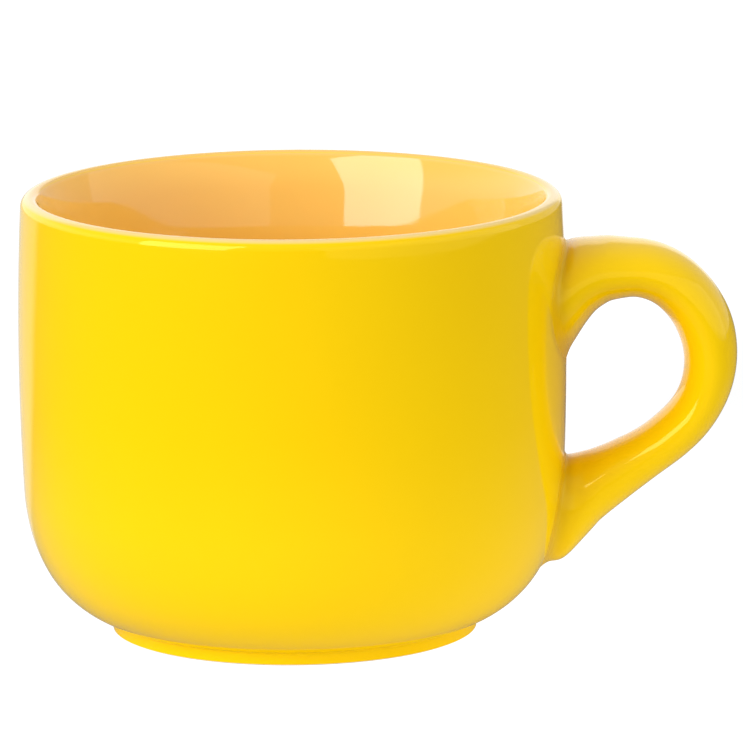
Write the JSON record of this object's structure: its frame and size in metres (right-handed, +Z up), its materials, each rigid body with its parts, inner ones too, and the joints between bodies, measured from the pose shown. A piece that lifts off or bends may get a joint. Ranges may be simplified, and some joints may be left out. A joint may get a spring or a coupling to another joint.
{
  "type": "soup mug",
  "caption": "Wide stoneware soup mug with a rounded heel, a low foot ring and a large loop handle luted to its wall, glazed yellow outside and apricot inside.",
  "frame": {"origin": "centre of the foot ring, on the face that the mug stands on and on the mug's axis", "axes": "+Z up along the mug's axis, +X towards the handle"},
  "size_m": [0.1496, 0.114, 0.0917],
  "materials": {
    "clay": "bare fired stoneware, matt",
    "slip": "fired luting slip, matt",
    "yellow_glaze": "glossy yellow glaze",
    "lining_glaze": "glossy apricot glaze"
  },
  "bodies": {
    "root": {"body": "clay", "handle": "clay", "upper_slip": "slip", "lower_slip": "slip", "outer_glaze": "yellow_glaze", "lining_glaze": "lining_glaze", "handle_glaze": "yellow_glaze", "base_glaze": "yellow_glaze"}
  },
  "joints": []
}
